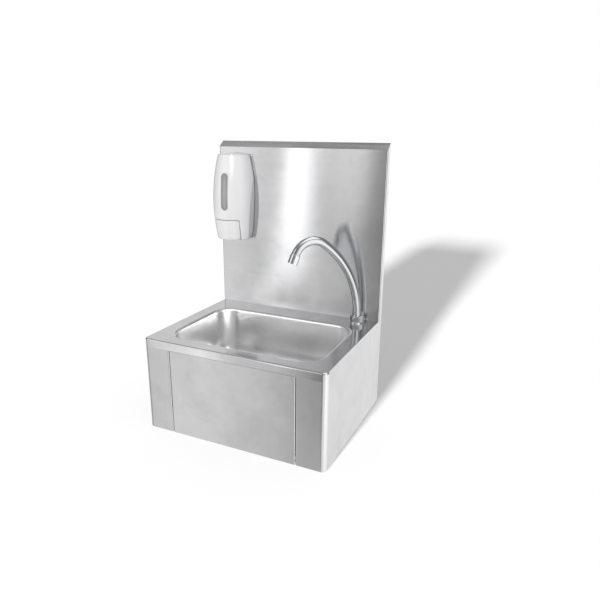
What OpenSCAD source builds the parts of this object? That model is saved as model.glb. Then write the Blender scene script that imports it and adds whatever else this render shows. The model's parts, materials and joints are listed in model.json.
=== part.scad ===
// Wall-hung stainless steel hand wash sink, worked by the knee, with a swivel spout and a soap dispenser.
// X runs across, +Y goes into the wall, +Z is up. The wall is the plane Y = 0.
// The origin is the centre of the four lower wall fixings.

/* [Body] */
// Width across the two side panels
body_w = 400; // [360:5:480]
// Depth from the wall to the front edge
body_d = 320; // [310:5:380]
// Height from the bottom edge to the deck
body_h = 198; // [190:1:230]
// Thickness of the stainless sheet
sheet_t = 1.2; // [1:0.1:1.5]
// Height of the skirt that folds down round the deck
skirt_h = 17; // [12:1:22]
// Outer radius of the folds in the sheet
fold_r = 3; // [2.5:0.5:5]
// Radius of the upright front corners
corner_r = 10; // [6:1:14]
// Width of the flange folded in along the bottom edge
bottom_lip = 14; // [8:1:20]

/* [Bowl] */
// Deck at each side of the bowl
side_margin = 29.5; // [27:0.5:50]
// Deck between the bowl and the front edge
front_margin = 26; // [24:1:40]
// Deck between the bowl and the wall, which holds the spout
back_margin = 70; // [66:1:90]
// Height of the bowl's floor above the bottom edge, with the valve and the waste under it
floor_h = 73; // [65:1:88]
// Radius of the bowl's corners seen from above
bowl_corner_r = 48; // [42:1:60]
// Radius of the rolled rim
rim_r = 5; // [3:0.5:8]
// Thickness of the bowl's sheet
bowl_t = 1; // [0.8:0.1:1.2]
// Radius of the round step for the waste
waste_step_r = 43; // [40:1:50]
// Depth of the round step
waste_step_depth = 5; // [4:0.5:7]

/* [Backsplash] */
// Height from the deck to the front edge of the top return
splash_front_h = 367; // [330:1:450]
// Height from the deck to the wall edge of the top return
splash_back_h = 380; // [370:1:470]
// Distance of its face from the wall
splash_d = 17; // [14:1:24]

/* [Knee panel] */
// Width of the knee panel
panel_w = 277; // [240:1:300]
// Depth of its side folds
panel_fold_d = 18; // [17:1:24]
// Gap all round it
panel_gap = 1; // [0.8:0.1:2]
// Clearance above the knee panel
panel_top_gap = 0.4; // [0.3:0.05:1]
// Radius of the hinge rod
rod_r = 3; // [2.5:0.5:4]
// Knee travel in degrees
knee_travel = 6; // [4:0.5:7]

/* [Valve] */
// Place of the valve across the body
valve_x = 70; // [65:1:75]
// Height of the valve above the bottom edge
valve_h = 30; // [26:1:32]
// Radius of the valve body
valve_r = 17; // [15:0.5:18]
// Radius of the plunger stem
stem_r = 4; // [3:0.5:4.5]

/* [Spout] */
// Distance of the spout from the right side
spout_side = 45.5; // [42:0.5:50]
// Distance of the spout from the wall
spout_wall = 39; // [36:0.5:44]
// Outer radius of the spout tube
tube_r = 9; // [8:0.25:10]
// Straight part above the deck
tube_rise = 22; // [20:1:60]
// Radius of the long lower bend
long_bend_r = 195; // [150:5:220]
// Angle of the long lower bend
long_bend_a = 54; // [40:1:60]
// Radius of the short top bend
top_bend_r = 41; // [30:1:60]
// Angle of the short top bend
top_bend_a = 105; // [90:1:120]
// Angle of the spout from straight ahead
spout_turn = 45; // [0:5:90]

/* [Dispenser] */
// Distance of the dispenser's centre line from the left side
dispenser_side = 41.5; // [40:0.5:60]
// Height of its bottom edge above the deck
dispenser_rise = 160.5; // [120:0.5:170]
// Height of the dispenser
dispenser_h = 195; // [185:1:200]
// Half its greatest width
dispenser_half_w = 49.6; // [47:0.1:52]
// Its greatest depth in front of the backsplash
dispenser_d = 53; // [51:0.5:56]
// Thickness of its plastic walls
shell_t = 2.2; // [1.8:0.1:2.6]

/* [Hidden] */
$fn = 64;

// Overrun of a cut past the face it opens
cut = 1;
// Radial clearance of a running fit
run_gap = 0.05;
// Clearance between pieces that only pass each other
free_gap = 0.3;
// Clearance between two sheets that lie on each other
sheet_gap = 0.1;

// Lower wall fixings: four holes in the rear rail
fixing_drop = 63;
fixing_h = body_h - fixing_drop;
fixing_w = 300;
fixing_rise = 40;
fixing_hole_r = 4.5;
rail_t = 2;
rail_web_h = 70;
rail_fold = 15;

function up(h) = h - fixing_h;

// Casing under the deck's fold
casing_top = body_h - fold_r;
jamb_top = body_h - skirt_h;
casing_x = body_w / 2;
casing_in_x = casing_x - sheet_t;
wall_lip = 18;

// Places across the body
spout_x = body_w / 2 - spout_side;
dispenser_x = body_w / 2 - dispenser_side;

// Bowl place: its rim's middle and its ends
bowl_w = body_w - 2 * side_margin;
bowl_l = body_d - front_margin - back_margin;
bowl_y = -(body_d - front_margin - bowl_l / 2);
bowl_depth = body_h - floor_h;
floor_r = bowl_corner_r - rim_r;
step_h = floor_h - waste_step_depth;

// Knee panel and its hinge
panel_top = jamb_top - panel_top_gap;
panel_fold_r = 2;
jamb_x = panel_w / 2 + panel_gap;
hinge_back = 12;
hinge_drop = 10;
hinge_y = -body_d + hinge_back;
hinge_h = panel_top - hinge_drop;
clip_r = 5.5;
clip_t = 1;
tab_low = 6;
tab_high = 24;
tab_reach = 13;
buffer_r = 4;
flange_step = 6;
flange_low = tab_high + flange_step;

// Striker pad, plunger and valve, from the front to the back
pad_r = 12;
pad_t = 10;
pad_y = -body_d + sheet_t + pad_t;
head_r = 7;
head_t = 5;
head_round = 12;
tip_y = pad_y + free_gap;
rail_setback = 56;
valve_rail_y = -body_d + rail_setback;
valve_rail_top = 58;
valve_rail_fold = 12;
neck_r = 11;
neck_l = 13;
neck_gap = 0.2;
valve_nut_t = 6;
valve_nut_af = 28;
bore_r = 8;
bush_t = 12;
bush_flange_r = 10.5;
bush_flange_t = 2;
neck_y = valve_rail_y - neck_l;
bush_y = neck_y - bush_flange_t;
valve_y = valve_rail_y + rail_t;
travel = (hinge_h - valve_h) * sin(knee_travel);
valve_wall = 4.5;
chamber_r = valve_r - valve_wall;
outlet_set = 11;
outlet_y = valve_y + outlet_set;
seat_set = 20;
seat_y = valve_y + seat_set;
seat_t = 3;
seat_r = 6;
disc_y = seat_y + seat_t;
disc_t = 4;
disc_seal_t = 1.5;
disc_gap = 3.5;
inlet_set = 17;
port_y = disc_y + inlet_set;
cap_af = 28;
cap_l = 6;
cap_plug_l = 4;
chamber_spare = 11.4;
valve_l = seat_set + seat_t + disc_t + travel + chamber_spare + cap_plug_l;
inlet_boss_r = 12;
inlet_boss_l = 8;
outlet_boss_r = 9;
outlet_boss_l = 5;
spigot_r = 7;
spigot_l = 6;
water_r = 4.5;

// Plunger spring
spring_wire = 1.2;
spring_r = 5.6;
spring_curls = 5;
spring_sides = 6;
spring_rings = 8;

// Supply side: tee and check valves
tee_r = 11;
tee_bore_r = 7;
tee_end_x = -95;
cold_x = -40;
hot_x = -80;
branch_l = 22;
check_af = 24;
check_l = 28;
thread_r = 10.48;
thread_l = 14;
check_bore_r = 6;

// Hose from the valve to the spout
hose_r = 5.5;
hose_nut_af = 19;
hose_nut_l = 14;
hose_grip = 6;
hose_rise_r = 45;

// Spout foot and shank
shank_r = 10.4;
shank_l = 48;
shank_low = body_h - shank_l;
shank_top = 6;
socket_low = 26;
spout_spigot_r = 7;
spout_bore_r = 4.5;
base_ring_r = 14.6;
base_ring_t = 2.2;
swivel_af = 24;
swivel_top = 16;
swivel_cavity = 10;
swivel_turn = 15;
collar_r = 10.1;
deck_hole_gap = 0.3;
seal_r = 15;
seal_t = 2.5;
washer_t = 1.5;
shank_nut_af = 27;
shank_nut_t = 7;
o_ring_r = 0.75;
o_ring_step = 8;
tube_wall = 1.4;
joint_l = 0.8;
joint_rise = 0.02;

// Aerator at the spout's end
aerator_r = 10.25;
aerator_l = 20;
aerator_grip = 4;
insert_r = 7.8;
insert_t = 3;
jet_r = 0.9;
jet_step = 3;
jet_rings = 2;

// Waste
waste_hole_r = 24;
strainer_r = 40;
strainer_t = 1.5;
strainer_dish = 1.6;
strainer_cup_r = 20;
slot_r = 2.6;
screw_r = 3;
screw_head_r = 5.5;
screw_l = 30;
waste_seal_r = 31;
upper_seal_t = 1.5;
waste_seal_t = 2.5;
waste_flange_r = 33;
waste_flange_t = 3.5;
waste_r = 20.95;
waste_bore_r = 17.5;
waste_low = 8;
bridge_w = 9;
bridge_t = 7;
bridge_drop = 8;

// Upper wall fixing: two rails that hook together behind the backsplash
hang_w = 300;
hang_h = 320;
hang_lip = 22;
hang_low = 35;
hang_lap = 18;
hang_hole_r = 3;
hang_hole_w = 240;
hang_step = 8;
hook_up = 20;

// Dispenser form: a barrel turned about an upright axis, cut to its outline
disp_low = body_h + dispenser_rise;
barrel_bow_r = 420;
barrel_rise = 82;
side_bow_r = 800;
side_rise = 114;
disp_corner_r = 13;
roof_drop = 7;
slot_w = 17;
slot_h = 82;
slot_rise = 109;
window_sink = 1;
button_half_w = 31;
button_h = 45.5;
button_gap = 0.5;
cover_back = 1.2;
pin_back = 9.5;
pin_rise = 9;
pin_r = 1.5;
pin_l = 5;
cheek_t = 2.2;
cheek_r = 5;
back_t = 3;
back_side_gap = 0.8;
back_low = 11;
bottle_half_w = 26;
bottle_back = 5;
bottle_d = 23;
bottle_low = 52;
bottle_high = 178;
bottle_corner_r = 9;
neck_rr = 9;
cap_r = 12;
cap_t = 8;
pump_r = 9.5;
pump_bore_r = 6;
pump_front = 30;
pump_rise = 21;
piston_front = 40;
piston_bore_end = 11;
piston_stop = 7;
piston_head_r = 7.5;
piston_head_t = 2;
post_r = 6;
button_back = 34;
smooth = 256;
nozzle_r = 3.5;
nozzle_low = 3;
button_pin_rise = 39.5;
button_pin_back = 33;
button_pin_r = 1.5;
ear_t = 2.5;
cheek_in = 2.5;
screw_x = 30;
screw_high = 182;
screw_low = 20;
disp_screw_r = 2;
disp_screw_head_r = 4;
disp_screw_head_t = 2;
disp_screw_l = 12;

// A box between two opposite corners
module block(lo, hi) {
    translate(lo) cube(hi - lo);
}

// Round bars along each axis, from the child's place
module bar_x(r, l) {
    rotate([0, 90, 0]) cylinder(r = r, h = l);
}
module bar_y(r, l) {
    rotate([-90, 0, 0]) cylinder(r = r, h = l);
}

// A hexagonal prism by its width across flats
module hex(af, l) {
    cylinder(r = af / sqrt(3), h = l, $fn = 6);
}

// A quarter-turn fold of sheet about an upright edge, its outside towards +X +Y
module fold(r, t, h) {
    rotate_extrude(angle = 90) translate([r - t, 0]) square([t, h]);
}

// A rectangle with round corners, centred
module round_rect(w, l, r) {
    square([w - 2 * r, l], center = true);
    square([w, l - 2 * r], center = true);
    for (x = [-1, 1], y = [-1, 1]) translate([x * (w / 2 - r), y * (l / 2 - r)]) circle(r);
}

// Sweeps a profile (x inward from the edge, y up) round the left, front and right edges of the deck
module edge_sweep(w, d, r) {
    translate([-w / 2 + r, -d, 0]) rotate([90, 0, 90]) linear_extrude(w - 2 * r) children();
    for (side = [0, 1]) mirror([side, 0, 0]) {
        translate([-w / 2, 0, 0]) rotate([90, 0, 0]) linear_extrude(d - r) children();
        translate([-w / 2 + r, -d + r, 0]) rotate([0, 0, 180]) rotate_extrude(angle = 90)
            translate([r, 0]) mirror([1, 0]) children();
    }
}

// Sweeps a profile (x inward from the rim, y up) round a closed rectangle with round corners
module rim_sweep(w, l, r) {
    for (turn = [0, 180]) rotate(turn) {
        translate([-w / 2 + r, -l / 2, 0]) rotate([90, 0, 90]) linear_extrude(w - 2 * r) children();
        translate([-w / 2, l / 2 - r, 0]) rotate([90, 0, 0]) linear_extrude(l - 2 * r) children();
        for (s = [0, 1]) mirror([s, 0, 0]) translate([-w / 2 + r, -l / 2 + r, 0]) rotate([0, 0, 180])
            rotate_extrude(angle = 90) translate([r, 0]) mirror([1, 0]) children();
    }
}

// Quarter ring in a profile: centre at the origin, in the quadrant given by the two signs
module ring_quarter(r, t, sx, sy) {
    intersection() {
        difference() {
            circle(r);
            circle(r - t);
        }
        translate([min(0, sx) * r, min(0, sy) * r]) square(r);
    }
}

module fold_profile() {
    translate([fold_r, -fold_r]) ring_quarter(fold_r, sheet_t, -1, 1);
}

// Flat top of the deck inside its fold
module deck_top() {
    r = corner_r - fold_r;
    w = body_w - 2 * fold_r;
    translate([-w / 2, -body_d + corner_r]) square([w, body_d - corner_r]);
    translate([-w / 2 + r, -body_d + fold_r]) square([w - 2 * r, body_d - fold_r]);
    for (s = [-1, 1]) translate([s * (w / 2 - r), -body_d + corner_r]) circle(r);
}

module deck() {
    color([0.80, 0.81, 0.81]) difference() {
        union() {
            translate([0, 0, up(body_h)]) edge_sweep(body_w, body_d, corner_r) fold_profile();
            block([-casing_x + corner_r, -body_d, up(jamb_top)],
                [casing_x - corner_r, -body_d + sheet_t, up(casing_top)]);
            translate([0, 0, up(body_h) - sheet_t]) linear_extrude(sheet_t) deck_top();
        }
        translate([0, bowl_y, up(body_h) - fold_r]) linear_extrude(fold_r + cut)
            round_rect(bowl_w, bowl_l, bowl_corner_r);
        translate([spout_x, -spout_wall, up(body_h) - fold_r])
            cylinder(r = shank_r + deck_hole_gap, h = fold_r + cut);
    }
}

module bowl_profile() {
    translate([0, -rim_r]) ring_quarter(rim_r, bowl_t, 1, 1);
    translate([rim_r - bowl_t, -bowl_depth + floor_r]) square([bowl_t, bowl_depth - floor_r - rim_r]);
    translate([bowl_corner_r, -bowl_depth + floor_r])
        ring_quarter(floor_r + bowl_t, bowl_t, -1, -1);
}

module step_profile() {
    translate([waste_hole_r, -bowl_t - waste_step_depth])
        square([waste_step_r - waste_hole_r - waste_step_depth, bowl_t]);
    translate([waste_step_r - waste_step_depth, -bowl_t])
        ring_quarter(waste_step_depth, bowl_t, 1, -1);
    translate([waste_step_r - bowl_t, -bowl_t]) square([bowl_t, bowl_t]);
}

module bowl() {
    floor_w = bowl_w - 2 * bowl_corner_r;
    floor_l = bowl_l - 2 * bowl_corner_r;
    color([0.74, 0.75, 0.76]) translate([0, bowl_y, up(body_h)]) {
        rim_sweep(bowl_w, bowl_l, bowl_corner_r) bowl_profile();
        translate([0, 0, -bowl_depth]) {
            difference() {
                translate([0, 0, -bowl_t / 2]) cube([floor_w, floor_l, bowl_t], center = true);
                translate([0, 0, -bowl_t - cut]) cylinder(r = waste_step_r - bowl_t, h = bowl_t + 2 * cut);
            }
            rotate_extrude() step_profile();
        }
    }
}

// Right casing: side wall, round front corner, jamb beside the knee panel, and the folds at its edges
module casing_half() {
    flange_in = jamb_x + panel_fold_r;
    difference() {
        union() {
            block([casing_in_x, -body_d + corner_r, up(0)], [casing_x, 0, up(casing_top)]);
            translate([casing_x - corner_r, -body_d + corner_r, up(0)]) rotate(-90)
                fold(corner_r, sheet_t, casing_top);
            block([flange_in, -body_d, up(0)], [casing_x - corner_r, -body_d + sheet_t, up(jamb_top)]);
            translate([flange_in, -body_d + panel_fold_r, up(0)]) rotate(180)
                fold(panel_fold_r, sheet_t, jamb_top);
            block([jamb_x, -body_d + panel_fold_r, up(flange_low)],
                [jamb_x + sheet_t, -body_d + panel_fold_d, up(jamb_top)]);
            block([casing_in_x - bottom_lip, -body_d + corner_r, up(0)], [casing_in_x, 0, up(sheet_t)]);
            block([flange_in, -body_d + sheet_t, up(0)],
                [casing_x - corner_r, -body_d + sheet_t + bottom_lip, up(sheet_t)]);
            block([casing_in_x - wall_lip, -sheet_t, up(sheet_t)],
                [casing_in_x, 0, up(fixing_h - rail_web_h / 2)]);
        }
        translate([jamb_x - cut, hinge_y, up(hinge_h)]) bar_x(rod_r, sheet_t + 2 * cut);
    }
}

module right_casing() {
    color([0.86, 0.87, 0.87]) casing_half();
}

module left_casing() {
    color([0.82, 0.83, 0.83]) mirror([1, 0, 0]) casing_half();
}

// Folded channel across the back, with the four lower fixing holes
module rear_rail() {
    low = up(fixing_h) - rail_web_h / 2;
    high = up(fixing_h) + rail_web_h / 2;
    color([0.70, 0.71, 0.72]) difference() {
        union() {
            block([-casing_in_x, -rail_t, low], [casing_in_x, 0, high]);
            block([-casing_in_x, -rail_fold, high - rail_t], [casing_in_x, -rail_t, high]);
            block([-casing_in_x, -rail_fold, low], [casing_in_x, -rail_t, low + rail_t]);
        }
        for (x = [-1, 1], z = [-1, 1]) translate([x * fixing_w / 2, -rail_t - cut, z * fixing_rise / 2])
            bar_y(fixing_hole_r, rail_t + 2 * cut);
    }
}

module backsplash() {
    low = up(body_h);
    front = up(body_h + splash_front_h);
    back = up(body_h + splash_back_h);
    half = body_w / 2;
    slope = [[-splash_d, front], [0, back], [0, back + splash_d], [-splash_d, back + splash_d]];
    run = norm([splash_d, back - front]);
    drop = sheet_t * run / splash_d;
    color([0.72, 0.73, 0.74]) {
        difference() {
            union() {
                block([-half + fold_r, -splash_d, low], [half - fold_r, -splash_d + sheet_t, back]);
                for (s = [0, 1]) mirror([s, 0, 0]) {
                    translate([half - fold_r, -splash_d + fold_r, low]) rotate(-90)
                        fold(fold_r, sheet_t, back - low);
                    block([half - sheet_t, -splash_d + fold_r, low], [half, 0, back]);
                }
            }
            translate([-half - cut, 0, 0]) rotate([90, 0, 90]) linear_extrude(body_w + 2 * cut)
                translate([0, -drop / 2]) polygon(slope);
            at_dispenser() screw_places() translate([0, -sheet_t - cut, 0])
                bar_y(disp_screw_r, sheet_t + 2 * cut);
        }
        translate([-half, 0, 0]) rotate([90, 0, 90]) linear_extrude(body_w)
            polygon([[-splash_d, front - drop], [0, back - drop], [0, back], [-splash_d, front]]);
    }
}

// Rail on the backsplash's rear face, its lip hooked over the wall rail
module hook_rail() {
    y = -splash_d + sheet_t;
    seat = up(body_h + hang_h);
    color([0.70, 0.71, 0.72]) {
        block([-hang_w / 2, y, seat - hook_up], [hang_w / 2, y + rail_t, seat + hook_up]);
        block([-hang_w / 2, y + rail_t, seat], [hang_w / 2, -rail_t - sheet_gap, seat + rail_t]);
        block([-hang_w / 2, -hang_step + rail_t + sheet_gap, seat - hang_lap],
            [hang_w / 2, -hang_step + 2 * rail_t + sheet_gap, seat]);
    }
}

// Rail screwed to the wall, its lip standing up
module wall_rail() {
    seat = up(body_h + hang_h);
    step = seat - hang_lip;
    color([0.66, 0.67, 0.68]) difference() {
        union() {
            block([-hang_w / 2, -rail_t, step - hang_low], [hang_w / 2, 0, step]);
            block([-hang_w / 2, -hang_step, step - rail_t], [hang_w / 2, -rail_t, step]);
            block([-hang_w / 2, -hang_step, step], [hang_w / 2, -hang_step + rail_t, seat]);
        }
        for (x = [-1, 1]) translate([x * hang_hole_w / 2, -rail_t - cut, step - hang_low / 2])
            bar_y(hang_hole_r, rail_t + 2 * cut);
    }
}

// Folded front panel that the knee pushes
module knee_panel() {
    half = panel_w / 2;
    front = -body_d;
    color([0.84, 0.85, 0.85]) difference() {
        union() {
            block([-half + panel_fold_r, front, up(0)],
                [half - panel_fold_r, front + sheet_t, up(panel_top)]);
            for (s = [0, 1]) mirror([s, 0, 0]) {
                translate([half - panel_fold_r, front + panel_fold_r, up(0)]) rotate(-90)
                    fold(panel_fold_r, sheet_t, panel_top);
                block([half - sheet_t, front + panel_fold_r, up(0)],
                    [half, front + panel_fold_d, up(panel_top)]);
                block([half - sheet_t, front + panel_fold_d - sheet_t, up(tab_low)],
                    [half + tab_reach, front + panel_fold_d, up(tab_high)]);
            }
            block([-half + sheet_t, front + sheet_t, up(panel_top) - sheet_t],
                [half - sheet_t, front + panel_fold_d, up(panel_top)]);
            block([-half + sheet_t, front + sheet_t, up(0)],
                [half - sheet_t, front + panel_fold_d, up(sheet_t)]);
        }
        for (s = [0, 1]) mirror([s, 0, 0]) translate([half - sheet_t - cut, hinge_y, up(hinge_h)])
            bar_x(rod_r + run_gap, sheet_t + 2 * cut);
    }
}

// Wear pad behind the knee panel that meets the plunger
module striker_pad() {
    color([0.15, 0.15, 0.16]) translate([valve_x, pad_y - pad_t, up(valve_h)]) bar_y(pad_r, pad_t);
}

// Rubber buffers that stop the panel flush with its jambs
module panel_buffers() {
    y = -body_d + sheet_t + free_gap;
    back = -body_d + panel_fold_d - sheet_t;
    x = panel_w / 2 + tab_reach - buffer_r;
    color([0.12, 0.12, 0.12]) for (s = [-1, 1]) translate([s * x, y, up((tab_low + tab_high) / 2)])
        bar_y(buffer_r, back - y);
}

module hinge_rod() {
    half = jamb_x + sheet_t + clip_t + cut;
    color([0.62, 0.63, 0.65]) translate([-half, hinge_y, up(hinge_h)]) bar_x(rod_r, 2 * half);
}

// Spring clips that keep the rod between the jambs
module rod_clips() {
    color([0.35, 0.36, 0.38]) for (s = [0, 1]) mirror([s, 0, 0])
        translate([jamb_x + sheet_t, hinge_y, up(hinge_h)]) difference() {
            bar_x(clip_r, clip_t);
            translate([-cut, 0, 0]) bar_x(rod_r, clip_t + 2 * cut);
            block([-cut, -rod_r / 2, -clip_r - cut], [clip_t + cut, rod_r / 2, 0]);
        }
}

// Cross rail under the bowl that carries the valve
module valve_rail() {
    color([0.70, 0.71, 0.72]) difference() {
        union() {
            block([-casing_in_x, valve_rail_y, up(sheet_t)],
                [casing_in_x, valve_rail_y + rail_t, up(valve_rail_top)]);
            block([-casing_in_x, valve_rail_y + rail_t, up(valve_rail_top) - rail_t],
                [casing_in_x, valve_rail_y + valve_rail_fold, up(valve_rail_top)]);
        }
        translate([valve_x, valve_rail_y - cut, up(valve_h)]) bar_y(neck_r + neck_gap, rail_t + 2 * cut);
    }
}

// Valve body: the outlet chamber in front, the seat, and the inlet chamber behind it
module valve_body() {
    back = valve_y + valve_l;
    color([0.78, 0.66, 0.38]) translate([valve_x, 0, up(valve_h)]) difference() {
        union() {
            translate([0, valve_y, 0]) bar_y(valve_r, valve_l);
            translate([0, neck_y, 0]) bar_y(neck_r, valve_y - neck_y);
            translate([-valve_r - inlet_boss_l, port_y, 0]) bar_x(inlet_boss_r, valve_r + inlet_boss_l);
            translate([0, outlet_y, 0]) bar_x(outlet_boss_r, valve_r + outlet_boss_l);
            translate([0, outlet_y, 0]) bar_x(spigot_r, valve_r + outlet_boss_l + spigot_l);
        }
        translate([0, neck_y - cut, 0]) bar_y(bore_r, seat_y - neck_y + cut);
        translate([0, seat_y - cut, 0]) bar_y(seat_r, seat_t + 2 * cut);
        translate([0, disc_y, 0]) bar_y(chamber_r, back - disc_y + cut);
        translate([-valve_r - inlet_boss_l - cut, port_y, 0]) bar_x(tee_bore_r, valve_r + inlet_boss_l + cut);
        translate([0, outlet_y, 0]) bar_x(water_r, valve_r + outlet_boss_l + spigot_l + cut);
    }
}

// Hexagonal plug that closes the inlet chamber
module valve_cap() {
    color([0.74, 0.62, 0.35]) translate([valve_x, valve_y + valve_l, up(valve_h)]) {
        rotate([-90, 0, 0]) hex(cap_af, cap_l);
        translate([0, -cap_plug_l, 0]) bar_y(chamber_r - run_gap, cap_plug_l);
    }
}

// Rubber washer on the front of the valve disc
module disc_seal() {
    color([0.12, 0.12, 0.12]) translate([valve_x, disc_y, up(valve_h)]) rotate([-90, 0, 0])
        washer(chamber_r - disc_gap, stem_r + run_gap, disc_seal_t);
}

// Nut that clamps the valve to its rail
module valve_nut() {
    color([0.74, 0.62, 0.35]) translate([valve_x, valve_rail_y - valve_nut_t, up(valve_h)])
        rotate([-90, 0, 0]) difference() {
            hex(valve_nut_af, valve_nut_t);
            translate([0, 0, -cut]) cylinder(r = neck_r + run_gap, h = valve_nut_t + 2 * cut);
        }
}

module gland_bush() {
    color([0.85, 0.85, 0.82]) translate([valve_x, 0, up(valve_h)]) difference() {
        union() {
            translate([0, bush_y, 0]) bar_y(bush_flange_r, bush_flange_t);
            translate([0, neck_y, 0]) bar_y(bore_r - run_gap, bush_t);
        }
        translate([0, bush_y - cut, 0]) bar_y(stem_r + run_gap, bush_t + bush_flange_t + 2 * cut);
    }
}

// Plunger with a domed head in front and the valve disc at its rear end
module valve_plunger() {
    color([0.80, 0.81, 0.83]) translate([valve_x, 0, up(valve_h)]) {
        translate([0, tip_y + head_t, 0]) rotate([90, 0, 0]) rotate_extrude() intersection() {
            square([head_r, head_t]);
            translate([0, head_t - head_round]) circle(head_round);
        }
        translate([0, tip_y + head_t, 0]) bar_y(stem_r, disc_y + disc_t - tip_y - head_t);
        translate([0, disc_y + disc_seal_t, 0]) bar_y(chamber_r - disc_gap, disc_t - disc_seal_t);
    }
}

// One unbroken coil: rings of points along a helix, closed at both ends
module plunger_spring() {
    rings = spring_curls * spring_rings + 1;
    wire_r = spring_wire / 2;
    long = bush_y - tip_y - head_t - 2 * wire_r - sheet_gap;
    rise = long / (rings - 1);
    pitch = atan(rise * spring_rings / (2 * PI * spring_r));
    points = [for (i = [0 : rings - 1], k = [0 : spring_sides - 1])
        let (a = 360 * i / spring_rings, b = 360 * k / spring_sides,
            out = spring_r + wire_r * cos(b), lift = wire_r * sin(b))
        [out * cos(a) + lift * sin(pitch) * sin(a), i * rise + lift * cos(pitch),
            out * sin(a) - lift * sin(pitch) * cos(a)]];
    walls = [for (i = [0 : rings - 2], k = [0 : spring_sides - 1])
        let (n = (k + 1) % spring_sides, p = i * spring_sides, q = p + spring_sides)
        each [[p + k, q + k, q + n], [p + k, q + n, p + n]]];
    caps = [[for (k = [0 : spring_sides - 1]) k],
        [for (k = [spring_sides - 1 : -1 : 0]) (rings - 1) * spring_sides + k]];
    echo(spring_gap = rise * spring_rings * cos(pitch) - spring_wire);
    color([0.60, 0.62, 0.65]) translate([valve_x, tip_y + head_t + wire_r + sheet_gap / 2, up(valve_h)])
        polyhedron(points, concat(walls, caps));
}

// Tee that joins the hot and cold supplies in front of the waste
module mixing_tee() {
    start = valve_x - valve_r - inlet_boss_l;
    color([0.76, 0.64, 0.37]) difference() {
        union() {
            translate([tee_end_x, port_y, up(valve_h)]) bar_x(tee_r, start - tee_end_x);
            for (x = [hot_x, cold_x]) translate([x, port_y, up(valve_h)]) bar_y(tee_r, branch_l);
        }
        translate([tee_end_x + tee_r - tee_bore_r, port_y, up(valve_h)]) bar_x(tee_bore_r, start - tee_end_x);
        for (x = [hot_x, cold_x]) translate([x, port_y, up(valve_h)]) bar_y(tee_bore_r, branch_l + cut);
    }
}

// Check valve with a male thread for the supply hose
module check_valve(x) {
    start = port_y + branch_l;
    translate([x, start, up(valve_h)]) difference() {
        union() {
            rotate([-90, 0, 0]) hex(check_af, check_l);
            translate([0, check_l, 0]) bar_y(thread_r, thread_l);
        }
        translate([0, -cut, 0]) bar_y(check_bore_r, check_l + thread_l + 2 * cut);
    }
}

module hot_check_valve() {
    color([0.78, 0.78, 0.80]) check_valve(hot_x);
}

module cold_check_valve() {
    color([0.78, 0.78, 0.80]) check_valve(cold_x);
}

// Hose: out of the valve to the right, back along the casing, then up to the spout
hose_start = valve_x + valve_r + outlet_boss_l + spigot_l;
hose_turn_x = hose_start + hose_nut_l - hose_grip;
hose_bend_r = spout_x - hose_turn_x;
hose_top = shank_low - spigot_l;
module outlet_hose() {
    z = up(valve_h);
    color([0.55, 0.57, 0.60]) {
        translate([hose_start, outlet_y, z]) bar_x(hose_r, hose_turn_x - hose_start);
        translate([hose_turn_x, outlet_y + hose_bend_r, z]) rotate(-90)
            rotate_extrude(angle = 90) translate([hose_bend_r, 0]) circle(hose_r);
        translate([spout_x, outlet_y + hose_bend_r, z])
            bar_y(hose_r, -spout_wall - hose_rise_r - outlet_y - hose_bend_r);
        translate([spout_x, -spout_wall - hose_rise_r, z + hose_rise_r]) rotate([90, 0, 90]) rotate(-90)
            rotate_extrude(angle = 90) translate([hose_rise_r, 0]) circle(hose_r);
        translate([spout_x, -spout_wall, z + hose_rise_r])
            cylinder(r = hose_r, h = up(hose_top) - z - hose_rise_r);
    }
}

module hose_nut() {
    difference() {
        hex(hose_nut_af, hose_nut_l);
        translate([0, 0, -cut]) cylinder(r = spigot_r + run_gap, h = hose_grip + cut);
        cylinder(r = hose_r + run_gap, h = hose_nut_l + cut);
    }
}

module hose_nuts() {
    color([0.77, 0.78, 0.80]) {
        translate([hose_start - hose_grip, outlet_y, up(valve_h)]) rotate([0, 90, 0]) hose_nut();
        translate([spout_x, -spout_wall, up(shank_low)]) rotate([180, 0, 0]) hose_nut();
    }
}

module at_spout(h) {
    translate([spout_x, -spout_wall, up(body_h) + h]) children();
}

// Threaded stub through the deck that the spout turns in
module spout_shank() {
    low = shank_low - body_h;
    color([0.78, 0.70, 0.48]) at_spout(low) difference() {
        union() {
            cylinder(r = shank_r, h = shank_top - low);
            translate([0, 0, -spigot_l]) cylinder(r = spigot_r, h = spigot_l + cut);
        }
        translate([0, 0, -spigot_l - cut]) cylinder(r = water_r, h = shank_top - low + spigot_l + 2 * cut);
        translate([0, 0, -low - socket_low])
            cylinder(r = spout_spigot_r + run_gap, h = socket_low + shank_top + cut);
    }
}

module washer(r, hole, t) {
    difference() {
        cylinder(r = r, h = t);
        translate([0, 0, -cut]) cylinder(r = hole, h = t + 2 * cut);
    }
}

module shank_seal() {
    color([0.12, 0.12, 0.12]) at_spout(-sheet_t - seal_t) washer(seal_r, shank_r + run_gap, seal_t);
}

module shank_washer() {
    color([0.72, 0.73, 0.75]) at_spout(-sheet_t - seal_t - washer_t)
        washer(seal_r, shank_r + run_gap, washer_t);
}

module shank_nut() {
    color([0.78, 0.70, 0.48]) at_spout(-sheet_t - seal_t - washer_t - shank_nut_t) difference() {
        hex(shank_nut_af, shank_nut_t);
        translate([0, 0, -cut]) cylinder(r = shank_r + run_gap, h = shank_nut_t + 2 * cut);
    }
}

module base_ring() {
    color([0.88, 0.89, 0.90]) at_spout(0) washer(base_ring_r, shank_r + run_gap, base_ring_t);
}

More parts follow.
